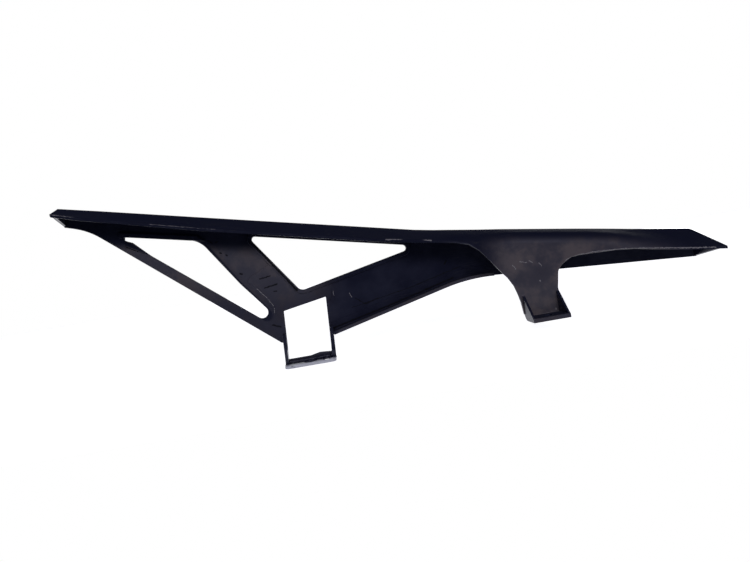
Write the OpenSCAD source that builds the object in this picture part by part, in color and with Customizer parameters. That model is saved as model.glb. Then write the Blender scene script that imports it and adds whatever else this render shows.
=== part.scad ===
// Moulded chain guard for a motorcycle swingarm: one piece of black plastic.
// x runs forward along the mounting plane, z is up from it, +y is the outer side.
// The origin is the centre of the rear mounting hole, on the underside of its shelf.
// The rail is drawn in its own axes, u along its level front run and v up from its
// datum line, and those axes are turned by rail_pitch against the mounting plane.

/* [Overall] */
// width of the guard from the inner edge to the outer face
rail_w = 34; // [28:0.5:42]
// wall thickness of the moulding
wall = 2.5; // [2:0.1:3.5]
// tilt of the rail against the mounting plane, degrees
rail_pitch = 9.8; // [5:0.1:14]
// height of the rail datum line above the mounting plane at the datum point
rail_z = 87; // [80:0.5:95]
// distance of the datum point ahead of the rear mounting hole
rail_x = 30.6; // [25:0.1:36]

/* [Rail] */
// u of the rear tip of the inner edge
rear_tip_u = -219.5; // [-240:0.5:-200]
// u of the front tip of the inner edge
front_tip_u = 310.5; // [290:0.5:330]
// u of the lowest point of the top line
saddle_u = 76; // [60:1:90]
// height of the top line at that point
saddle_v = 20; // [18:0.1:22]
// rise of the top line towards the rear, per millimetre
rear_rise = 0.0586; // [0.04:0.0001:0.08]
// rise of the top line towards the front, per millimetre
front_rise = 0.0071; // [0:0.0001:0.02]
// drop of the top sheet from the outer face to the shoulder, where there is a flange
shoulder_drop = 5; // [3:0.1:7]
// length of the shoulder's bend on the top sheet
bend_top = 13; // [8:0.5:16]
// length of the shoulder's bend on the flange
bend_side = 8; // [5:0.5:10]

/* [Side plate] */
// width of the raised rim round each window
rim_w = 3.4; // [2:0.1:5]
// height of the raised rims
rim_h = 1.6; // [1:0.1:2.5]
// width of the rounded edge of the middle strut at its upper end
round_w = 7.5; // [4:0.5:10]
// depth of that rounded edge
round_d = 2; // [1.2:0.1:2.2]
// height of the raised panels on the struts and over the lip
step_h = 0.6; // [0.3:0.1:1]
// width of the raised panel over the lip
step_w = 6.6; // [4:0.2:9]
// thickness of the lip along the lower edge of the front panel
lip_t = 2.8; // [2:0.1:4]
// width of that lip, measured inwards from the plate
lip_w = 8; // [5:0.5:12]

/* [Rear bracket] */
// width of the bracket
bracket_w = 42.5; // [40:0.5:48]
// thickness of the bracket's legs
leg_t = 3; // [2.5:0.1:4]
// forward lean of the legs, per millimetre of height
bracket_lean = 0.05; // [0:0.01:0.08]
// height of the bracket's opening at its rear side
rear_open_h = 40.5; // [36:0.5:43]
// depth of the bracket's legs
leg_d = 9; // [6:0.5:14]
// depth of the mounting shelf
shelf_d = 19; // [18:0.5:24]
// radius of the shelf's inner corners
shelf_r = 4; // [1:0.5:6]
// thickness of the mounting shelf
shelf_t = 2.4; // [2:0.1:3.5]
// height of the bar over the shelf
bar_h = 2.6; // [2:0.1:4]
// rise of the bar's top beside the slot
bar_rise = 1.6; // [0.4:0.1:2.5]
// diameter of the rear mounting hole
rear_hole_d = 11; // [9:0.1:12]
// distance of that hole from the inner edge of the shelf
rear_hole_in = 7.2; // [7:0.1:9]
// distance of the slot ahead of that hole
slot_x = 13.3; // [12:0.1:14]
// width of the slot
slot_w = 6.2; // [4:0.1:7]
// length of the slot, across the guard
slot_l = 14; // [9:0.5:15]

/* [Front foot] */
// distance from the rear mounting hole to the front bolt hole
mount_pitch = 187; // [184:0.1:189]
// height of the underside of the foot over the mounting plane
foot_z = 8.7; // [6:0.1:11]
// width of the foot
foot_w = 28.5; // [28:0.1:31]
// reach of the foot from the inner edge of the rail
foot_reach = 16.5; // [15:0.5:22]
// thickness of the foot
foot_t = 3.2; // [2.5:0.1:4]
// outer radius of the bend between tab and foot
foot_bend = 6; // [4:0.5:8]
// height of the gussets over the underside of the foot
gusset_h = 20; // [14:0.5:24]
// thickness of each gusset
gusset_t = 2; // [1.5:0.1:3]
// diameter of the front bolt hole
front_hole_d = 6.5; // [6:0.1:8]

/* [Hidden] */
plate_y = rail_w - wall;
hole_y = rail_w - shelf_d + rear_hole_in;
sp = sin(rail_pitch);
cp = cos(rail_pitch);
tab_z = foot_z + foot_bend - 1;
tab_u = (mount_pitch - rail_x) * cp - (tab_z - rail_z) * sp;
slot_y = 1.2;
round_n = 48;

// corners of the two windows, clockwise, each as [u, v, radius]
rear_window = [
    [-172.8, 13, 0.8], [-110, 10.2, 21], [-75.5, -26.2, 40], [-20.9, -76.3, 5],
    [-151, -2.1, 15], [-166.5, 8.8, 0], [-172.6, 10.4, 0]
];
front_window = [[-69.7, 14, 2.5], [73.9, 6.1, 2.8], [-24.4, -31.7, 6]];
// how far the rear window's lower rear corner lies outwards on the inner face
scoop = [-5.4, -3.3];

// the plate's outline, rear end first along its lower edge, each as [u, v, radius]
plate_outline = [
    [rear_tip_u - 9.5, top_v(rear_tip_u - 9.5) - 1.3, 0], [rear_tip_u - 3.1, 21.1, 0.8],
    [rear_tip_u + 16.1, 18.7, 60], [-40.2, -75.5, 0], [3.7, -67.6, 0], [115.2, -20.6, 135],
    [front_tip_u - 2.8, -2.5, 0.8], [front_tip_u - 8.5, top_v(front_tip_u - 8.5) - 1.3, 0],
    [saddle_u, saddle_v - 1.3, 0]
];

// raised panel on the middle strut, over the bracket
strut_panel = [
    [-47.5, -5.8], [-51.1, -9.2], [-59.5, -15.9], [-67.1, -20.1], [-69.8, -25.1], [-65.4, -26],
    [-59.9, -28.6], [-46.4, -44.8], [-45.3, -52.8], [-38, -56], [1, -38], [1, -22], [-24.4, -28]
];
// rim over the rear window's upper edge
upper_rim = [[-176.5, 12.2], [-176.5, 17], [-112, 14.3], [-104, 9], [-112, 7]];

// sections of the rail, each as [u, v of the free edge]: the rear run, the run down to
// the tab with u from the tab's middle, the run up from it, and the front run with u as
// a share of the way from there to the tip
rear_run = [[-195, 27.3], [-156, 24.2], [-101.5, 19.5], [-39, 15.6], [0, 13], [38, 11]];
run_down = [
    [-96.6, 10.3], [-80.6, 10], [-68.2, 9.4], [-58, 7.3], [-49.8, 2.3], [-42.9, -4.6],
    [-32, -15.5], [-27.6, -19.5], [-22.8, -25.8], [-19.8, -32], [-17.2, -38.3]
];
run_up = [[11.7, -14.6], [12.6, -12.2], [15.8, -7.9], [22.3, -3], [29.4, -1.3], [38, -0.2]];
front_run = [[0.19, 2.9], [0.32, 4.1], [0.51, 4.5], [0.71, 4.9]];

function smooth(x) = let (c = min(1, max(0, x))) c * c * (3 - 2 * c);

// height of the top line
function top_v(u) =
    saddle_v + (u < saddle_u ? rear_rise * (saddle_u - u) : front_rise * (u - saddle_u));

// 0 where the sheet only slopes down to its free edge, 1 where it turns into a flange
function turn(u) = smooth((u - tab_u + 96.6) / 75) * (1 - smooth((u - tab_u - 38.4) / 80));

// height on the rail of a point at height z over the mounting plane
function rail_v(u, z) = (z - rail_z + u * sp) / cp;

function unit(p) = p / norm(p);

// points of a bend from p towards a and b, where the bend reaches ra and rb from p
function bend(p, a, b, ra, rb) = let (
    m = p + min(ra, 0.8 * norm(a - p)) * unit(a - p),
    n = p + min(rb, 0.8 * norm(b - p)) * unit(b - p)
) [for (i = [0:6]) let (s = i / 6) (1 - s) * (1 - s) * m + 2 * s * (1 - s) * p + s * s * n];

// closed section of the sheet at u, as [y, v] points: outside first, then inside
function section(u, free_v) = let (
    t = turn(u),
    a = [rail_w, top_v(u)],
    b = [0, free_v],
    on_line = free_v + (a[1] - free_v) * 8 / rail_w,
    c = [8 * (1 - t), on_line * (1 - t) + (a[1] - shoulder_drop) * t],
    m = (a[1] - c[1]) / (a[0] - c[0]),
    drop = wall * sqrt(1 + m * m),
    c2 = [c[0] + wall * t, c[1] + m * wall * t - drop],
    b2 = [wall * t, free_v - wall * (1 - t)],
    a2 = [plate_y, a[1] - m * wall - drop]
) concat(
    [[rail_w, a[1] - 3], [rail_w - 0.9, a[1] - 0.9], [rail_w - 3, a[1] - 3 * m]],
    bend(c, a, b, bend_top, bend_side), [b, b2],
    [for (i = [6:-1:0]) bend(c2, a2, b2, bend_top - 0.7 * wall * t, bend_side - 0.7 * wall * t)[i]],
    [a2 + [-1.6, -1.6 * m], a2 + [-0.4, -0.5], a2 + [0, -1.7]]
);

// the two ends are flat, and each leans with y and v
function rear_end(p) = rear_tip_u - 0.21 * p[0] - 0.386 * (p[1] - 30.1);
function front_end(p) = front_tip_u - 0.15 * p[0] - 0.24 * (p[1] - 5.9);

function flat_ring(u, free_v) = [for (p = section(u, free_v)) [u, p[0], p[1]]];

rings = concat(
    [[for (p = section(rear_tip_u - 4, 30.1)) [rear_end(p), p[0], p[1]]]],
    [for (s = rear_run) flat_ring(s[0], s[1])],
    [for (s = run_down) flat_ring(tab_u + s[0], s[1])],
    [for (d = [-14.6, -1.6, 11.4]) flat_ring(tab_u + d, rail_v(tab_u + d, tab_z))],
    [for (s = run_up) flat_ring(tab_u + s[0], s[1])],
    [for (s = front_run) flat_ring(tab_u + 38 + s[0] * (front_tip_u - tab_u - 38), s[1])],
    [[for (p = section(front_tip_u - 4, 5.9)) [front_end(p), p[0], p[1]]]]
);
n_ring = len(rings[0]);
n_half = n_ring / 2;

// outline with round corners from corners given as [u, v, radius]
function round_corners(c, n = 8) = [for (i = [0:len(c) - 1]) let (
    p = [c[i][0], c[i][1]],
    q = c[(i + len(c) - 1) % len(c)],
    s = c[(i + 1) % len(c)],
    d0 = unit([q[0], q[1]] - p),
    d1 = unit([s[0], s[1]] - p),
    half = acos(max(-1, min(1, d0 * d1))) / 2,
    r = c[i][2],
    o = p + unit(d0 + d1) * r / sin(half),
    f0 = p + d0 * r / tan(half) - o,
    a0 = atan2(f0[1], f0[0]),
    side = sign(d0[0] * d1[1] - d0[1] * d1[0]),
    sweep = -side * (180 - 2 * half)
) each r == 0 ? [p] : [for (k = [0:n]) let (a = a0 + sweep * k / n) o + r * [cos(a), sin(a)]]];

// corners moved outwards by d, for corners given clockwise
function grow(c, d) = [for (i = [0:len(c) - 1]) let (
    p = [c[i][0], c[i][1]],
    q = c[(i + len(c) - 1) % len(c)],
    s = c[(i + 1) % len(c)],
    d0 = unit([q[0], q[1]] - p),
    d1 = unit([s[0], s[1]] - p),
    half = acos(d0 * d1) / 2,
    o = p - unit(d0 + d1) * d / sin(half)
) [o[0], o[1], c[i][2] + d]];

// puts children drawn in (u, y, v) on the guard
module on_rail() {
    translate([rail_x, -hole_y, rail_z]) rotate([0, rail_pitch, 0]) children();
}

// extrudes an upright outline from y0 to y1
module upright(y0, y1) {
    translate([0, y1, 0]) rotate([90, 0, 0]) linear_extrude(y1 - y0) children();
}

// the sloped top sheet, the flange it turns into and the tab down to the foot
module sheet() {
    last = (len(rings) - 1) * n_ring;
    polyhedron(
        points = [for (r = rings) each r],
        faces = concat(
            [for (k = [0:len(rings) - 2], i = [0:n_ring - 1]) let (
                a = k * n_ring + i, b = k * n_ring + (i + 1) % n_ring
            ) each [[b + n_ring, b, a], [a + n_ring, b + n_ring, a]]],
            [for (i = [0:n_half - 2]) let (j = n_ring - 1 - i)
                each [[j - 1, j, i], [i + 1, j - 1, i]]],
            [for (i = [0:n_half - 2]) let (j = n_ring - 1 - i)
                each [[last + j, last + j - 1, last + i], [last + j - 1, last + i + 1, last + i]]]
        ),
        convexity = 8
    );
}

// closed end of the channel: a leaning three-cornered wall, dir is +1 at the rear
module end_wall(corners, dir) {
    flip = dir > 0;
    polyhedron(
        points = concat(
            [for (p = corners) [flip ? rear_end(p) : front_end(p), p[0], p[1]]],
            [for (p = corners) [(flip ? rear_end(p) : front_end(p)) + dir * wall, p[0], p[1]]]
        ),
        faces = flip
            ? [[2, 1, 0], [3, 4, 5], [1, 4, 3, 0], [2, 5, 4, 1], [0, 3, 5, 2]]
            : [[0, 1, 2], [5, 4, 3], [0, 3, 4, 1], [1, 4, 5, 2], [2, 5, 3, 0]]
    );
}

module end_walls() {
    mid = rail_w - wall / 2;
    end_wall([[0.2, 29.4], [mid, top_v(-228) - 2], [mid, 21.6]], 1);
    end_wall([[0.2, 5.2], [mid, top_v(302) - 2], [mid, -2.4]], -1);
}

// the bracket's opening in the mounting axes, from height z0; its legs lean forward
module bracket_opening(z0, rise = 0) {
    r = bracket_w / 2 - leg_t;
    z1 = shelf_t + bar_h + rear_open_h;
    polygon([
        [-r, z0], [0, z0], [slot_x - 5, z0 + rise], [r, z0 + rise / 2],
        [r + bracket_lean * (z1 + 6), z1 + 6], [-r + bracket_lean * z1, z1]
    ]);
}

module bracket_outline() {
    r = bracket_w / 2;
    polygon([[-r, 0], [r, 0], [r + bracket_lean * 27, 27], [-r + bracket_lean * 27, 27]]);
}

// outline of the rear window at depth e from the inner face of the plate: the middle
// strut's edge is rounded there, and the lower rear corner is scooped out
function rear_window_at(e) = let (
    k = max(0, 1 - e / round_d),
    d = round_w * (1 - sqrt(1 - k * k)),
    s = max(0, 1 - e / wall),
    w = rear_window
) round_corners([
    w[0], w[1] + d * [1.48, -0.06, 0], w[2] + d * [0.5, 0.5, 0], w[3], w[4],
    w[5] + s * [scoop[0], scoop[1], 0], w[6]
]);

module rear_window_cut() {
    depths = concat([-rim_h - 1], [for (a = [0:15:90]) round_d * (1 - cos(a))], [wall, wall + 1]);
    loops = [for (e = depths) [for (p = rear_window_at(max(0, e))) [p[0], plate_y + e, p[1]]]];
    n = len(loops[0]);
    end = (len(loops) - 1) * n;
    polyhedron(
        points = [for (l = loops) each l],
        faces = concat(
            [[for (i = [0:n - 1]) i]],
            [for (k = [0:len(loops) - 2], i = [0:n - 1]) let (a = k * n + i, b = k * n + (i + 1) % n)
                each [[b + n, b, a], [a + n, b + n, a]]],
            [[for (i = [n - 1:-1:0]) end + i]]
        ),
        convexity = 6
    );
}

// outer plate with its raised rims and panels and its two windows
module side_plate() {
    difference() {
        union() {
            upright(plate_y, rail_w) polygon(round_corners(plate_outline));
            upright(plate_y - rim_h, plate_y + 0.5) {
                polygon(round_corners(grow(front_window, rim_w)));
                polygon(upper_rim);
            }
            upright(plate_y - step_h, plate_y + 0.5) {
                polygon(strut_panel);
                step_outline();
            }
        }
        rear_window_cut();
        upright(plate_y - rim_h - 1, rail_w + 1) polygon(round_corners(front_window));
    }
}

// raised panel between the front panel's middle and the lip
module step_outline() {
    up = lower_edge(lip_t + step_w);
    polygon(concat(lower_edge(1), [for (i = [len(up) - 1:-1:0]) up[i]]));
}

// lower edge of the front panel: a straight run and its bend, moved up by d
function lower_edge(d) = let (pts = round_corners(plate_outline))
    [for (i = [0:len(pts) - 1]) if (pts[i][0] > 3 && pts[i][0] < 140 && pts[i][1] < -10)
        pts[i] + d * [-0.389, 0.921]];

module lip() {
    up = lower_edge(lip_t);
    upright(plate_y - lip_w, plate_y + 0.5)
        polygon(concat(lower_edge(0), [for (i = [len(up) - 1:-1:0]) up[i]]));
}

// rectangular bracket in the mounting axes, with its shelf, hole and slot
module bracket() {
    y_out = rail_w - hole_y;
    b = bracket_w / 2;
    difference() {
        union() {
            upright(y_out - leg_d, y_out) bracket_outline();
            linear_extrude(shelf_t) polygon(round_corners([
                [-b, y_out, 0], [b, y_out, 0], [b, y_out - shelf_d, shelf_r], [-b, y_out - shelf_d, shelf_r]
            ]));
        }
        upright(y_out - leg_d - 1, y_out - wall) bracket_opening(shelf_t);
        upright(y_out - leg_d - 1, y_out + 1) bracket_opening(shelf_t + bar_h, bar_rise);
        translate([0, 0, -1]) cylinder(d = rear_hole_d, h = shelf_t + 2, $fn = round_n);
        translate([slot_x, slot_y, -1]) slot(slot_w, slot_l, shelf_t + 2);
    }
}

// slot along y, rounded at both ends
module slot(w, l, h) {
    for (s = [-1, 1]) translate([0, s * (l - w) / 2, 0]) cylinder(d = w, h = h, $fn = 32);
    translate([-w / 2, -(l - w) / 2, 0]) cube([w, l - w, h]);
}

// L-shaped foot with its bend, two gussets and its bolt hole, in the mounting axes
module foot() {
    y0 = -hole_y;
    translate([mount_pitch - foot_w / 2, y0, foot_z]) {
        difference() {
            union() {
                translate([0, -foot_reach, 0]) cube([foot_w, foot_reach - foot_bend + wall, foot_t]);
                translate([0, 0, foot_bend - 0.01]) cube([foot_w, wall, 6]);
                intersection() {
                    translate([0, wall - foot_bend, foot_bend]) rotate([0, 90, 0])
                        cylinder(r = foot_bend, h = foot_w, $fn = 64);
                    translate([0, wall - foot_bend, 0]) cube([foot_w, foot_bend, foot_bend]);
                }
                for (x = [0, foot_w - gusset_t]) translate([x, 0, 0]) gusset();
            }
            translate([gusset_t, -foot_reach - 1, foot_t])
                cube([foot_w - 2 * gusset_t, foot_reach + 1, foot_bend + 8]);
            translate([foot_w / 2, -foot_reach / 2, -1])
                cylinder(d = front_hole_d, h = foot_t + 2, $fn = round_n);
        }
    }
}

module gusset() {
    rotate([90, 0, 90]) linear_extrude(gusset_t)
        polygon([[-foot_reach + 0.6, 0.4], [-foot_reach + 0.6, foot_t], [0, gusset_h], [1, gusset_h],
                 [1, foot_bend - 1], [wall - foot_bend, 0.4]]);
}

module chain_guard() {
    color([0.06, 0.06, 0.075]) {
        difference() {
            union() {
                on_rail() {
                    sheet();
                    end_walls();
                    side_plate();
                    lip();
                }
            }
            upright(rail_w - hole_y - leg_d - 4, rail_w - hole_y + 1)
                bracket_opening(shelf_t + bar_h, bar_rise);
        }
        bracket();
        foot();
    }
}

chain_guard();
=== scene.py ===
"""Moulded chain guard: looks, floor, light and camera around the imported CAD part.

Everything is in metres, in the part's own frame: x forward, y to the outer side, z up,
with the origin at the rear mounting hole. The camera looks at the inner side.
"""

import math

import bmesh
import bpy
from mathutils import Matrix, Vector


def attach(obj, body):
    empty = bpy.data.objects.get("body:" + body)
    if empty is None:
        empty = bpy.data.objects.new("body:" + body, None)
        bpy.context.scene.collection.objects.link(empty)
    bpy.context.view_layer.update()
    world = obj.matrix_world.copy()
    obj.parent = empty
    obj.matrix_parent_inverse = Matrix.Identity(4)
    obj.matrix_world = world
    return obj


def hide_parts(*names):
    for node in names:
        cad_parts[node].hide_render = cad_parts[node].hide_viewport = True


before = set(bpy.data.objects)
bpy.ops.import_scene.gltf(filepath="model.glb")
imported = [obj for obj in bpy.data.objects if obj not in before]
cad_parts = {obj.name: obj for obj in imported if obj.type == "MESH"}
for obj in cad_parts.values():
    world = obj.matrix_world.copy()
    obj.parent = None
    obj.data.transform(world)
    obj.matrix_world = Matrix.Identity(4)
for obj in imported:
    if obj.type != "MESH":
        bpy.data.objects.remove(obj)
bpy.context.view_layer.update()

MM = 0.001
ROOT = "root"
NODE = "chain_guard"

# the rail's own axes in the part's frame: u along the rail, v up from its datum line
RAIL_PITCH = math.radians(9.8)
RAIL_AT = Vector((30.6, -22.2, 87.0)) * MM
U_AXIS = Vector((math.cos(RAIL_PITCH), 0.0, -math.sin(RAIL_PITCH)))
V_AXIS = Vector((math.sin(RAIL_PITCH), 0.0, math.cos(RAIL_PITCH)))

# camera: 426.4 mm in front of the rail's inner edge, square to the side plate
CAMERA_OFF = 426.4 * MM
FOCAL_PX = 546.0
PHOTO_W, PHOTO_H = 750.0, 562.0
AXIS_PX = (330.0, 253.0)
SENSOR_MM = 36.0

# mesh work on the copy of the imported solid
MERGE_WITHIN = 0.02 * MM
FLAT_WITHIN = math.radians(0.8)
ROUND_WIDTH = 0.5 * MM
ROUND_FROM = math.radians(30)
SMOOTH_UP_TO = math.radians(36)

# plastic: colours in linear light
NIGHT, NIGHT_PALER = (0.0012, 0.0024, 0.0150), (0.0026, 0.0036, 0.0130)
# satin skin: painted sheen, a greyer colour on the tab, sheet and struts
SHEEN_PAINT_COLD, SHEEN_PAINT_WARM = (0.0480, 0.0450, 0.0560), (0.0950, 0.0800, 0.0800)
SCUFFED = (0.030, 0.030, 0.034)
# painted reflection on the rear shelf's front edge
SHELF_REFLECTION_PAINT = (0.62, 0.63, 0.67)
# pale scratches and worn spots, and painted highlights along edges
PALE_SCRATCH_AND_GLINT = (0.26, 0.25, 0.255)
# dark marks, and painted shade in creases and steps
DARK_MARK_AND_CREASE_SHADE = (0.0004, 0.0004, 0.0006)
SHINE_TINT = (0.66, 0.68, 0.84, 1)

# plastic: roughness where it is matt, and how far each kind of shine or mark shifts it
MATT_LOW, MATT_HIGH = 0.74, 1.02
SATIN_SHIFT, POLISH_SHIFT, MARK_SHIFT = -0.46, -0.62, 0.6
ROUGH_LEAST = 0.14

# plastic: waves of the grain in a metre, and the depth of its bump
FINE_WAVES, SLOW_WAVES, PATCH_WAVES, SCUFFED_WAVES = 2600.0, 90.0, 38.0, 24.0
BUMP_STRENGTH, BUMP_DEPTH = 0.35, 0.08 * MM

# plastic: how the zones of shine and painted sheen are laid out (mm), and how strong the weaker ones are
PATCH_DRIFT = 30.0
FACING_FROM, FACING_FULL = 0.45, 0.75
STRUT_LEAST, REST_SHARE = 0.62, 0.43
LINE_SHAKE = 1.6

# stage and light
PAPER = (0.86, 0.86, 0.86)
STAGE_X = 0.05
FLOOR_Y, FLOOR_Z = 0.58, -0.0004
WALL_Y, WALL_Z = 1.3, 0.28
STAGE_WIDTH, FLOOR_DEPTH, WALL_HEIGHT = 7.0, 1.44, 0.56
ROOM_BLUE = (0.006, 0.012, 0.055, 1)


def clear_selection():
    """Back to object mode with nothing selected."""
    if bpy.context.mode != "OBJECT":
        bpy.ops.object.mode_set(mode="OBJECT")
    bpy.ops.object.select_all(action="DESELECT")


def activate(piece):
    """Make a piece the only selected and the active one."""
    clear_selection()
    piece.select_set(True)
    bpy.context.view_layer.objects.active = piece


# camera


def make_camera():
    """The photo's camera: square to the rail's axes, with the optical axis off the picture's centre."""
    data = bpy.data.cameras.new("camera")
    cam = bpy.data.objects.new("camera", data)
    bpy.context.scene.collection.objects.link(cam)
    data.sensor_width = SENSOR_MM
    data.lens = FOCAL_PX / PHOTO_W * SENSOR_MM
    data.shift_x = (PHOTO_W / 2 - AXIS_PX[0]) / PHOTO_W
    data.shift_y = (AXIS_PX[1] - PHOTO_H / 2) / PHOTO_W
    data.clip_start, data.clip_end = 0.01, 30.0
    back = Vector((0.0, -1.0, 0.0))
    turn = Matrix((U_AXIS, V_AXIS, back)).transposed()
    cam.matrix_world = Matrix.Translation(RAIL_AT + back * CAMERA_OFF) @ turn.to_4x4()
    bpy.context.scene.camera = cam


# shader groups


def new_group(name, inputs, outputs):
    """A shader group with its sockets: inputs as (name, kind, default), outputs as (name, kind)."""
    group = bpy.data.node_groups.new(name, "ShaderNodeTree")
    for label, kind, value in inputs:
        socket = group.interface.new_socket(name=label, in_out="INPUT", socket_type=kind)
        if value is not None:
            socket.default_value = value
    for label, kind in outputs:
        group.interface.new_socket(name=label, in_out="OUTPUT", socket_type=kind)
    nodes, links = group.nodes, group.links
    return group, nodes, links, nodes.new("NodeGroupInput"), nodes.new("NodeGroupOutput")


def ramp(nodes, links, value, start, end):
    """0 at start, 1 at end and straight between."""
    node = nodes.new("ShaderNodeValToRGB")
    for element, at, level in zip(node.color_ramp.elements, (start, end), (0.0, 1.0)):
        element.position = at
        element.color = (level, level, level, 1)
    links.new(value, node.inputs[0])
    return node.outputs[0]


def noise(nodes, links, source, scale, detail, rough=0.55):
    """A noise texture over a point, with its scale in waves for each unit of the point."""
    node = nodes.new("ShaderNodeTexNoise")
    node.inputs["Scale"].default_value = scale
    node.inputs["Detail"].default_value = detail
    node.inputs["Roughness"].default_value = rough
    links.new(source, node.inputs["Vector"])
    return node


def math_node(nodes, links, kind, *values):
    """The result of a math node on numbers or sockets."""
    node = nodes.new("ShaderNodeMath")
    node.operation = kind
    for socket, value in zip(node.inputs, values):
        if isinstance(value, (int, float)):
            socket.default_value = value
        else:
            links.new(value, socket)
    return node.outputs[0]


def product(nodes, links, *values):
    """All the values multiplied together."""
    total = values[0]
    for value in values[1:]:
        total = math_node(nodes, links, "MULTIPLY", total, value)
    return total


def most(nodes, links, *values):
    """The largest of the values."""
    total = values[0]
    for value in values[1:]:
        total = math_node(nodes, links, "MAXIMUM", total, value)
    return total


def smooth(nodes, links, value, start, end):
    """0 at start, 1 at end and smooth between; start may be the larger of the two."""
    step = nodes.new("ShaderNodeMapRange")
    step.interpolation_type = "SMOOTHSTEP"
    rising = start < end
    step.inputs["From Min"].default_value = start if rising else end
    step.inputs["From Max"].default_value = end if rising else start
    step.inputs["To Min"].default_value = 0.0 if rising else 1.0
    step.inputs["To Max"].default_value = 1.0 if rising else 0.0
    links.new(value, step.inputs["Value"])
    return step.outputs["Result"]


def grain_group():
    """Fine moulded grain with a slow waviness, as a height, and slow patches, as a mottle."""
    group, nodes, links, gin, gout = new_group(
        "moulded_grain",
        [("Position", "NodeSocketVector", None)],
        [("Height", "NodeSocketFloat"), ("Mottle", "NodeSocketFloat")],
    )
    fine = noise(nodes, links, gin.outputs["Position"], FINE_WAVES, 2.0)
    slow = noise(nodes, links, gin.outputs["Position"], SLOW_WAVES, 3.0)
    patch = noise(nodes, links, gin.outputs["Position"], PATCH_WAVES, 5.0, 0.62)
    height = math_node(nodes, links, "MULTIPLY_ADD", fine.outputs["Fac"], 0.35, slow.outputs["Fac"])
    links.new(height, gout.inputs["Height"])
    links.new(patch.outputs["Fac"], gout.inputs["Mottle"])
    return group


def scuff_group():
    """Thin random scratches along a stretched direction, as a mask."""
    group, nodes, links, gin, gout = new_group(
        "handling_scuffs",
        [("Position", "NodeSocketVector", None), ("Amount", "NodeSocketFloat", 0.5)],
        [("Mask", "NodeSocketFloat")],
    )
    masks = []
    for turn, seed in ((0.5, 3.0), (-0.9, 11.0)):
        place = nodes.new("ShaderNodeMapping")
        place.inputs["Rotation"].default_value = (0.0, turn, 0.0)
        place.inputs["Location"].default_value = (seed, seed * 0.37, 0.0)
        place.inputs["Scale"].default_value = (60.0, 420.0, 1900.0)
        links.new(gin.outputs["Position"], place.inputs["Vector"])
        line = noise(nodes, links, place.outputs[0], 1.0, 2.0, 0.4)
        masks.append(ramp(nodes, links, line.outputs["Fac"], 0.63, 0.70))
    where = noise(nodes, links, gin.outputs["Position"], SCUFFED_WAVES, 2.0)
    spots = ramp(nodes, links, where.outputs["Fac"], 0.47, 0.62)
    mask = product(nodes, links, most(nodes, links, *masks), spots, gin.outputs["Amount"])
    links.new(mask, gout.inputs["Mask"])
    return group


def rail_group():
    """The shading point in the rail's axes, in millimetres: along, up and the part's own y."""
    group, nodes, links, gin, gout = new_group(
        "rail_axes",
        [("Position", "NodeSocketVector", None)],
        [("Along", "NodeSocketFloat"), ("Up", "NodeSocketFloat"), ("Across", "NodeSocketFloat"),
         ("Point", "NodeSocketVector")],
    )
    joined = nodes.new("ShaderNodeCombineXYZ")
    measures = (
        ("Along", U_AXIS, RAIL_AT.dot(U_AXIS)),
        ("Up", V_AXIS, RAIL_AT.dot(V_AXIS)),
        ("Across", Vector((0.0, 1.0, 0.0)), 0.0),
    )
    for k, (label, axis, start) in enumerate(measures):
        dot = nodes.new("ShaderNodeVectorMath")
        dot.operation = "DOT_PRODUCT"
        dot.inputs[1].default_value = axis
        links.new(gin.outputs["Position"], dot.inputs[0])
        value = math_node(nodes, links, "SUBTRACT", dot.outputs["Value"], start)
        value = math_node(nodes, links, "MULTIPLY", value, 1.0 / MM)
        links.new(value, gout.inputs[label])
        links.new(value, joined.inputs[k])
    links.new(joined.outputs[0], gout.inputs["Point"])
    return group


def facing_group():
    """How much the surface faces rearward or down, as a mask."""
    group, nodes, links, gin, gout = new_group(
        "facing_rear_or_down",
        [("Normal", "NodeSocketVector", None)],
        [("Mask", "NodeSocketFloat")],
    )
    sides = []
    for axis in (-U_AXIS, -V_AXIS):
        dot = nodes.new("ShaderNodeVectorMath")
        dot.operation = "DOT_PRODUCT"
        dot.inputs[1].default_value = axis
        links.new(gin.outputs["Normal"], dot.inputs[0])
        sides.append(smooth(nodes, links, dot.outputs["Value"], FACING_FROM, FACING_FULL))
    links.new(most(nodes, links, *sides), gout.inputs["Mask"])
    return group


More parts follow.
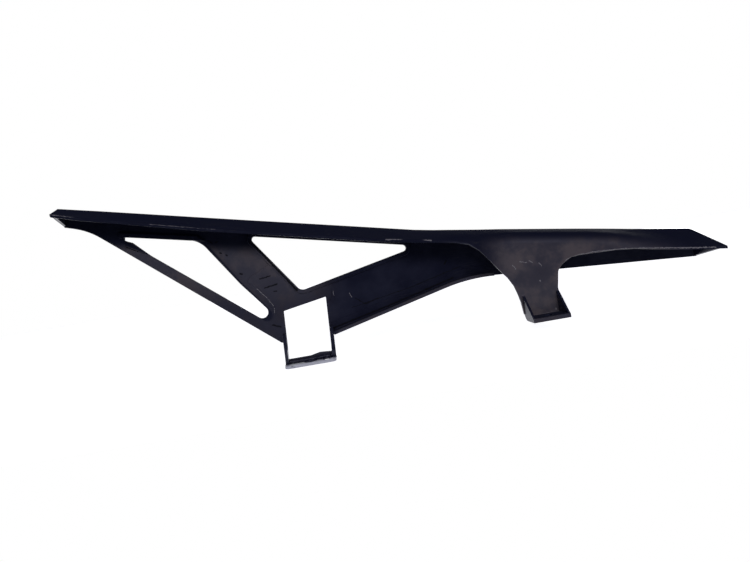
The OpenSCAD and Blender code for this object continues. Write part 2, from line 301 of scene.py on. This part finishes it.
def zone_group():
    """Three masks by place: where the surface is satin and gets painted sheen, where it is polished and
    where a reflection is painted pale.

    Each zone is a box in the rail's axes (mm), with the pairs of values where a side of it is 0 and 1.
    """
    group, nodes, links, gin, gout = new_group(
        "shine_zones",
        [("Along", "NodeSocketFloat", 0.0), ("Up", "NodeSocketFloat", 0.0),
         ("Across", "NodeSocketFloat", 0.0), ("Drift", "NodeSocketFloat", 0.5)],
        [("SatinAndPaintedSheen", "NodeSocketFloat"), ("Polished", "NodeSocketFloat"), ("PaintedGlint", "NodeSocketFloat")],
    )
    shift = math_node(nodes, links, "MULTIPLY_ADD", gin.outputs["Drift"], PATCH_DRIFT, gin.outputs["Along"])
    values = {
        "along": math_node(nodes, links, "SUBTRACT", shift, PATCH_DRIFT / 2),
        "up": gin.outputs["Up"],
        "across": gin.outputs["Across"],
    }

    def box(*sides):
        return product(nodes, links, *(smooth(nodes, links, values[name], *ends) for name, ends in sides))

    # the sheet above the tab, and the tab: painted sheen, fading to dark towards the sheet's top, which
    # faces up
    sheet = box(
        ("along", (116.0, 152.0)), ("along", (290.0, 220.0)), ("up", (15.0, 5.0)),
        ("across", (4.0, 1.0)), ("across", (-23.2, -22.6)),
    )
    # the plate's struts: painted sheen, palest just below the rail, fading to painted shade close under the
    # rail and left dark as painted shade in the scooped corner
    struts = box(
        ("along", (14.0, -30.0)), ("up", (9.0, 0.0)), ("across", (2.0, 7.0)), ("across", (10.0, 9.5)),
    )
    strength = math_node(nodes, links, "ADD", box(("up", (-50.0, -18.0))), STRUT_LEAST)
    struts = product(nodes, links, struts, strength)
    # weaker painted sheen on the struts, the lip, the outer face and the foot's front face
    lip = box(("across", (3.0, 1.6)), ("across", (0.0, 1.0)), ("up", (-8.0, -14.0)), ("along", (2.0, 8.0)))
    outer = box(("across", (10.9, 11.5)))
    foot = box(("across", (-37.6, -38.2)))
    rest = product(nodes, links, most(nodes, links, struts, lip, outer, foot), REST_SHARE)
    links.new(most(nodes, links, sheet, rest), gout.inputs["SatinAndPaintedSheen"])

    # the rear shelf, polished, with a painted reflection along its front edge
    shelf = box(("up", (-79.0, -82.0)), ("along", (40.0, 30.0)))
    links.new(shelf, gout.inputs["Polished"])
    links.new(product(nodes, links, shelf, box(("across", (0.5, -3.0)))), gout.inputs["PaintedGlint"])
    return group


def ragged_group():
    """A point shaken a little, and gaps, so that drawn marks look worn rather than ruled."""
    group, nodes, links, gin, gout = new_group(
        "ragged_lines",
        [("Point", "NodeSocketVector", None)],
        [("Point", "NodeSocketVector"), ("Break", "NodeSocketFloat")],
    )
    shake = noise(nodes, links, gin.outputs["Point"], 0.55, 2.0)
    centre = nodes.new("ShaderNodeVectorMath")
    centre.operation = "SUBTRACT"
    links.new(shake.outputs["Color"], centre.inputs[0])
    centre.inputs[1].default_value = (0.5, 0.5, 0.5)
    moved = nodes.new("ShaderNodeVectorMath")
    moved.operation = "MULTIPLY_ADD"
    links.new(centre.outputs[0], moved.inputs[0])
    moved.inputs[1].default_value = (LINE_SHAKE, LINE_SHAKE, 0.0)
    links.new(gin.outputs["Point"], moved.inputs[2])
    links.new(moved.outputs[0], gout.inputs["Point"])
    gaps = noise(nodes, links, gin.outputs["Point"], 1.3, 2.0)
    links.new(smooth(nodes, links, gaps.outputs["Fac"], 0.30, 0.50), gout.inputs["Break"])
    return group


def mark_group():
    """A thin mark from A to B on the surface, as a mask that fades at its sides."""
    group, nodes, links, gin, gout = new_group(
        "line_mark",
        [("Point", "NodeSocketVector", None), ("A", "NodeSocketVector", None),
         ("B", "NodeSocketVector", None), ("Width", "NodeSocketFloat", 0.3)],
        [("Mask", "NodeSocketFloat")],
    )

    def vector(kind, first, second):
        node = nodes.new("ShaderNodeVectorMath")
        node.operation = kind
        links.new(first, node.inputs[0])
        links.new(second, node.inputs["Scale"] if kind == "SCALE" else node.inputs[1])
        return node.outputs["Value"] if kind == "DOT_PRODUCT" else node.outputs[0]

    run = vector("SUBTRACT", gin.outputs["B"], gin.outputs["A"])
    off = vector("SUBTRACT", gin.outputs["Point"], gin.outputs["A"])
    reach, whole = vector("DOT_PRODUCT", off, run), vector("DOT_PRODUCT", run, run)
    share = math_node(nodes, links, "DIVIDE", reach, whole)
    share.node.use_clamp = True
    rest = vector("SUBTRACT", off, vector("SCALE", run, share))
    length = nodes.new("ShaderNodeVectorMath")
    length.operation = "LENGTH"
    links.new(rest, length.inputs[0])
    ratio = math_node(nodes, links, "DIVIDE", length.outputs["Value"], gin.outputs["Width"])
    links.new(smooth(nodes, links, ratio, 1.5, 0.5), gout.inputs["Mask"])
    return group


GRAIN = grain_group()
SCUFFS = scuff_group()
RAIL = rail_group()
ZONES = zone_group()
MARK = mark_group()
FACING = facing_group()
RAGGED = ragged_group()


# planes across the part that the marks lie in (mm)
PLATE_Y, PANEL_Y, RIM_Y, TAB_Y = 9.3, 8.7, 7.7, -22.2

# marks on the inner face: start and end as the camera sees them (pixels), plane, width (mm)
# dark marks: dashes, pits and the bow-shaped mark in the plastic, and painted shade along the two steps of
# the panel's lower edge, along the middle strut's crease and along the window rim next to it
DARK_MARKS = [
    ((260, 279), (270, 276), PANEL_Y, 0.5), ((265, 288), (277, 284), PANEL_Y, 0.5),
    ((274, 291.5), (277, 291), PANEL_Y, 0.35), ((220, 253), (221, 253.5), PLATE_Y, 0.7),
    ((226, 255), (227, 255.4), PLATE_Y, 0.6), ((240, 273.5), (242, 274.5), PLATE_Y, 0.6),
    ((273, 325), (281, 327), PLATE_Y, 0.5), ((444.5, 264), (446, 261), PLATE_Y, 0.6),
    ((334, 327.8), (393, 303.8), PANEL_Y, 0.55), ((393, 303.8), (453, 277.8), PANEL_Y, 0.55),
    ((352, 307.5), (410, 287.5), PLATE_Y, 0.22), ((410, 287.5), (460, 266.5), PLATE_Y, 0.28),
    ((208, 241), (212, 243), PLATE_Y, 0.5), ((215, 243), (218, 241.5), PLATE_Y, 0.4),
    ((269, 264), (258, 274), PLATE_Y, 0.25), ((254, 276), (250, 279), PLATE_Y, 0.45),
    ((250.5, 242), (266, 258), RIM_Y, 0.9), ((266, 258), (297, 290), RIM_Y, 0.8),
    ((355, 298), (366, 304), PLATE_Y, 0.3), ((366, 304), (378, 298), PLATE_Y, 0.3),
]
# pale marks: scratches on the tab, worn spots on the rail's inner edge and moulded lettering on the panel,
# and painted highlights along the free edges of the front and rear rail, along the panel's border and as
# two small spots at the tab's right edge
PALE_MARKS = [
    ((386, 239.6), (402, 238.8), TAB_Y, 0.5), ((423, 239.4), (431, 240.4), TAB_Y, 0.5),
    ((520, 261.7), (526.7, 262.5), TAB_Y, 0.3), ((512.5, 265), (515.8, 269), TAB_Y, 0.3),
    ((529, 260.8), (532.5, 262.6), TAB_Y, 0.3), ((539, 263), (541.7, 265.8), TAB_Y, 0.3),
    ((540, 280.6), (540.4, 281.2), TAB_Y, 0.4),
    ((562.5, 264), (567, 259.2), TAB_Y, 0.3), ((567, 259.2), (575, 255.6), TAB_Y, 0.3),
    ((575, 255.6), (593, 251.9), TAB_Y, 0.3), ((593, 251.9), (617, 249), TAB_Y, 0.3),
    ((617, 249), (642, 248.1), TAB_Y, 0.35), ((642, 248.1), (697, 247.6), TAB_Y, 0.4),
    ((697, 247.6), (716, 246.9), TAB_Y, 0.4), ((50, 214.6), (80, 217.4), TAB_Y, 0.45),
    ((80, 217.4), (104, 219.6), TAB_Y, 0.3), ((150, 224.4), (215, 229.2), TAB_Y, 0.15),
    ((257, 289), (268, 299), PLATE_Y, 0.22), ((268, 299), (273.5, 306), PLATE_Y, 0.22),
    ((274.5, 308), (274.5, 315), PLATE_Y, 0.18), ((333, 291), (334, 296), PLATE_Y, 0.18),
    ((349, 293), (352, 297), PLATE_Y, 0.18), ((556, 308.5), (556.4, 309), TAB_Y, 0.5),
    ((558.6, 288), (558.8, 289), TAB_Y, 0.4),
]


def seen_at(px, plane):
    """The point of a plane across the part that the camera sees at a pixel, in the rail's axes."""
    scale = (CAMERA_OFF / MM + plane - RAIL_AT.y / MM) / FOCAL_PX
    return ((px[0] - AXIS_PX[0]) * scale, (AXIS_PX[1] - px[1]) * scale, plane)


def add_marks(nodes, links, point, marks):
    """One mask of all the marks in a list."""
    total = None
    for start, end, plane, width in marks:
        mark = nodes.new("ShaderNodeGroup")
        mark.node_tree = MARK
        mark.inputs["A"].default_value = seen_at(start, plane)
        mark.inputs["B"].default_value = seen_at(end, plane)
        mark.inputs["Width"].default_value = width
        links.new(point, mark.inputs["Point"])
        mask = mark.outputs["Mask"]
        total = mask if total is None else most(nodes, links, total, mask)
    return total


def blend(nodes, links, factor, a, b):
    """Colour a where the factor is 0 and b where it is 1."""
    mix = nodes.new("ShaderNodeMix")
    mix.data_type = "RGBA"
    links.new(factor, mix.inputs["Factor"])
    for name, value in (("A", a), ("B", b)):
        if isinstance(value, tuple):
            mix.inputs[name].default_value = (*value, 1)
        else:
            links.new(value, mix.inputs[name])
    return mix.outputs["Result"]


def add_group(nodes, links, tree, **sources):
    """A shader group in use, with its inputs linked or set by name."""
    node = nodes.new("ShaderNodeGroup")
    node.node_tree = tree
    for name, source in sources.items():
        if isinstance(source, float):
            node.inputs[name].default_value = source
        else:
            links.new(source, node.inputs[name])
    return node.outputs


def black_plastic():
    """Black moulded plastic: matt in the channel, satin on the tab and struts and greyer there from painted
    sheen, scuffed.
    """
    mat = bpy.data.materials.new("black_plastic")
    mat.use_nodes = True
    nodes, links = mat.node_tree.nodes, mat.node_tree.links
    shader = nodes["Principled BSDF"]
    shader.inputs["IOR"].default_value = 1.5
    shader.inputs["Specular Tint"].default_value = SHINE_TINT
    place = nodes.new("ShaderNodeTexCoord").outputs["Object"]
    grain = add_group(nodes, links, GRAIN, Position=place)
    scuffs = add_group(nodes, links, SCUFFS, Position=place, Amount=0.5)
    axes = add_group(nodes, links, RAIL, Position=place)
    zones = add_group(
        nodes, links, ZONES,
        Along=axes["Along"], Up=axes["Up"], Across=axes["Across"], Drift=grain["Mottle"],
    )
    ragged = add_group(nodes, links, RAGGED, Point=axes["Point"])
    dark = add_marks(nodes, links, ragged["Point"], DARK_MARKS)
    pale = product(nodes, links, add_marks(nodes, links, ragged["Point"], PALE_MARKS), ragged["Break"])

    # colour: near black with a cold cast, then the painted sheen of the satin zones, the scuffs, the
    # painted reflection on the shelf's edge, and the marks with their painted highlights and shade over it
    colour = blend(nodes, links, grain["Mottle"], NIGHT, NIGHT_PALER)
    painted_sheen = blend(nodes, links, smooth(nodes, links, grain["Mottle"], 0.40, 0.60), SHEEN_PAINT_COLD, SHEEN_PAINT_WARM)
    colour = blend(nodes, links, zones["SatinAndPaintedSheen"], colour, painted_sheen)
    colour = blend(nodes, links, scuffs["Mask"], colour, SCUFFED)
    # painted reflection on the shelf's front edge, broken up by the grain height
    painted_glint = product(nodes, links, zones["PaintedGlint"], smooth(nodes, links, grain["Height"], 0.40, 0.56))
    colour = blend(nodes, links, painted_glint, colour, SHELF_REFLECTION_PAINT)
    colour = blend(nodes, links, pale, colour, PALE_SCRATCH_AND_GLINT)
    colour = blend(nodes, links, dark, colour, DARK_MARK_AND_CREASE_SHADE)
    links.new(colour, shader.inputs["Base Color"])

    # roughness: matt, less so where it is satin, least where it is polished, more on the marks
    rough = nodes.new("ShaderNodeMapRange")
    for name, value in (("From Min", 0.3), ("From Max", 0.7), ("To Min", MATT_LOW), ("To Max", MATT_HIGH)):
        rough.inputs[name].default_value = value
    links.new(grain["Mottle"], rough.inputs["Value"])
    facing = add_group(nodes, links, FACING, Normal=nodes.new("ShaderNodeNewGeometry").outputs["Normal"])
    polished = most(nodes, links, zones["Polished"], facing["Mask"])
    blemish = most(nodes, links, dark, pale)
    level = rough.outputs["Result"]
    for mask, shift in ((zones["SatinAndPaintedSheen"], SATIN_SHIFT), (polished, POLISH_SHIFT), (blemish, MARK_SHIFT)):
        level = math_node(nodes, links, "MULTIPLY_ADD", mask, shift, level)
    links.new(most(nodes, links, level, ROUGH_LEAST), shader.inputs["Roughness"])

    bump = nodes.new("ShaderNodeBump")
    bump.inputs["Strength"].default_value = BUMP_STRENGTH
    bump.inputs["Distance"].default_value = BUMP_DEPTH
    links.new(grain["Height"], bump.inputs["Height"])
    links.new(bump.outputs["Normal"], shader.inputs["Normal"])
    return mat


def seen_or_through(nodes, links, path):
    """A mask of the rays that come from the camera, straight or through glass."""
    return most(nodes, links, path.outputs["Is Camera Ray"], path.outputs["Is Transmission Ray"])


def background(name, glow, pure):
    """White matt paper that glows for camera, mirror and glass rays; the pure kind shows only its glow."""
    mat = bpy.data.materials.new(name)
    mat.use_nodes = True
    nodes, links = mat.node_tree.nodes, mat.node_tree.links
    shader = nodes["Principled BSDF"]
    shader.inputs["Base Color"].default_value = (*PAPER, 1)
    shader.inputs["Roughness"].default_value = 1.0
    shader.inputs["Specular IOR Level"].default_value = 0.0
    path = nodes.new("ShaderNodeLightPath")
    seen = seen_or_through(nodes, links, path)
    mirrored = math_node(nodes, links, "MULTIPLY", path.outputs["Is Glossy Ray"], 1.0 if pure else 0.8)
    seen = most(nodes, links, seen, mirrored)
    light = nodes.new("ShaderNodeEmission")
    if pure:
        both = nodes.new("ShaderNodeMixShader")
        links.new(seen, both.inputs[0])
        links.new(shader.outputs[0], both.inputs[1])
        links.new(light.outputs[0], both.inputs[2])
        light.inputs["Strength"].default_value = glow
    else:
        both = nodes.new("ShaderNodeAddShader")
        links.new(shader.outputs[0], both.inputs[0])
        links.new(light.outputs[0], both.inputs[1])
        links.new(math_node(nodes, links, "MULTIPLY", seen, glow), light.inputs["Strength"])
    links.new(both.outputs[0], nodes["Material Output"].inputs["Surface"])
    return mat


# the guard


def far_from(p, a, b):
    """Distance of a point from the segment a b."""
    run = b - a
    share = (p - a).dot(run) / max(run.length_squared, 1e-18)
    share = max(0.0, min(1.0, share))
    return (p - (a + run * share)).length


def weigh_edges(mesh, width, angle):
    """Give every sharp edge a bevel weight that its narrower neighbouring face has room for."""
    no_limit = 9.0
    sample_step = 2 * MM
    most_of_room, least_share = 0.4, 0.1
    bm = bmesh.new()
    bm.from_mesh(mesh)
    weight = bm.edges.layers.float.new("bevel_weight_edge")
    for edge in bm.edges:
        if len(edge.link_faces) != 2 or edge.calc_face_angle() < angle:
            continue
        a, b = (v.co for v in edge.verts)
        count = max(2, min(7, int(edge.calc_length() / sample_step) + 2))
        along = [a.lerp(b, k / (count - 1)) for k in range(count)]
        room = no_limit
        for face in edge.link_faces:
            for other in face.edges:
                if other is edge:
                    continue
                shared = [v for v in other.verts if v in edge.verts]
                if shared:
                    far = other.other_vert(shared[0])
                    room = min(room, far_from(far.co, a, b))
                    continue
                c, d = (v.co for v in other.verts)
                room = min([room] + [far_from(p, c, d) for p in along])
        share = min(1.0, most_of_room * room / width)
        edge[weight] = share if share > least_share else 0.0
    bm.to_mesh(mesh)
    bm.free()


def make_guard():
    """The moulding with every edge rounded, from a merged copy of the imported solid."""
    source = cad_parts[NODE]
    guard = bpy.data.objects.new("guard", source.data.copy())
    bpy.context.scene.collection.objects.link(guard)
    guard.data.materials.clear()
    activate(guard)
    bpy.ops.object.mode_set(mode="EDIT")
    bpy.ops.mesh.select_all(action="SELECT")
    bpy.ops.mesh.remove_doubles(threshold=MERGE_WITHIN)
    bpy.ops.mesh.dissolve_limited(angle_limit=FLAT_WITHIN)
    bpy.ops.object.mode_set(mode="OBJECT")
    weigh_edges(guard.data, ROUND_WIDTH, ROUND_FROM)
    edge = guard.modifiers.new("edge", "BEVEL")
    edge.width = ROUND_WIDTH
    edge.segments = 2
    edge.limit_method = "WEIGHT"
    edge.use_clamp_overlap = False
    bpy.ops.object.modifier_apply(modifier="edge")
    bpy.ops.object.shade_smooth_by_angle(angle=SMOOTH_UP_TO)
    flat = guard.modifiers.new("flat", "WEIGHTED_NORMAL")
    flat.keep_sharp = True
    flat.weight = 90
    bpy.ops.object.modifier_apply(modifier="flat")
    guard.data.materials.append(black_plastic())
    return guard


make_camera()
guard = make_guard()
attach(guard, ROOT)
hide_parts(NODE)

# stage and light


def make_floor():
    """White paper under the part and behind it."""
    clear_selection()
    bpy.ops.mesh.primitive_plane_add(size=1.0, location=(STAGE_X, FLOOR_Y, FLOOR_Z))
    floor = bpy.context.object
    floor.name = "floor"
    floor.scale = (STAGE_WIDTH, FLOOR_DEPTH, 1.0)
    bpy.ops.object.transform_apply(location=False, rotation=False, scale=True)
    floor.data.materials.append(background("floor_paper", 0.92, False))


def make_backdrop():
    """A low white wall behind the part."""
    clear_selection()
    bpy.ops.mesh.primitive_plane_add(
        size=1.0, location=(STAGE_X, WALL_Y, WALL_Z), rotation=(math.pi / 2, 0, 0)
    )
    wall = bpy.context.object
    wall.name = "backdrop"
    wall.scale = (STAGE_WIDTH, WALL_HEIGHT, 1.0)
    bpy.ops.object.transform_apply(location=False, rotation=True, scale=True)
    wall.data.materials.append(background("backdrop_paper", 1.0, True))


def lamp(name, at, aim, size, power, colour=(1, 1, 1)):
    """A rectangular lamp turned to its aim, with its power in watts."""
    data = bpy.data.lights.new(name, "AREA")
    data.shape = "RECTANGLE"
    data.size, data.size_y = size
    data.energy = power
    data.color = colour
    light = bpy.data.objects.new(name, data)
    bpy.context.scene.collection.objects.link(light)
    at = Vector(at)
    light.location = at
    light.rotation_mode = "QUATERNION"
    light.rotation_quaternion = (aim - at).to_track_quat("-Z", "Y")


def make_world():
    """A dim blue room that the camera sees as white."""
    world = bpy.data.worlds.new("room")
    bpy.context.scene.world = world
    world.use_nodes = True
    nodes, links = world.node_tree.nodes, world.node_tree.links
    room = nodes["Background"]
    room.inputs["Color"].default_value = ROOM_BLUE
    room.inputs["Strength"].default_value = 1.0
    white = nodes.new("ShaderNodeBackground")
    white.inputs["Color"].default_value = (1, 1, 1, 1)
    path = nodes.new("ShaderNodeLightPath")
    seen = seen_or_through(nodes, links, path)
    mix = nodes.new("ShaderNodeMixShader")
    links.new(seen, mix.inputs[0])
    links.new(room.outputs[0], mix.inputs[1])
    links.new(white.outputs[0], mix.inputs[2])
    links.new(mix.outputs[0], nodes["World Output"].inputs["Surface"])


make_floor()
make_backdrop()
make_world()
KEY_SIZE, BACK_SIZE, TOP_SIZE = (0.5, 0.35), (0.4, 0.3), (1.4, 0.3)
AIM_KEY, AIM_BACK, AIM_TOP = (Vector((0.07, 0.0, z)) for z in (0.09, 0.08, 0.0))
lamp("key_right", (0.48, -1.34, 0.74), AIM_KEY, KEY_SIZE, 5.3, (1.0, 0.95, 1.0))
lamp("key_left", (-0.34, -1.34, 0.74), AIM_KEY, KEY_SIZE, 5.2, (0.97, 0.98, 1.05))
lamp("back_right", (1.15, 1.0, 0.18), AIM_BACK, BACK_SIZE, 4.0)
lamp("back_left", (-1.0, 1.0, 0.18), AIM_BACK, BACK_SIZE, 4.0)
lamp("top_soft", (0.07, -0.3, 1.6), AIM_TOP, TOP_SIZE, 0.5, (0.86, 0.94, 1.15))

bpy.context.scene.view_settings.view_transform = "Standard"
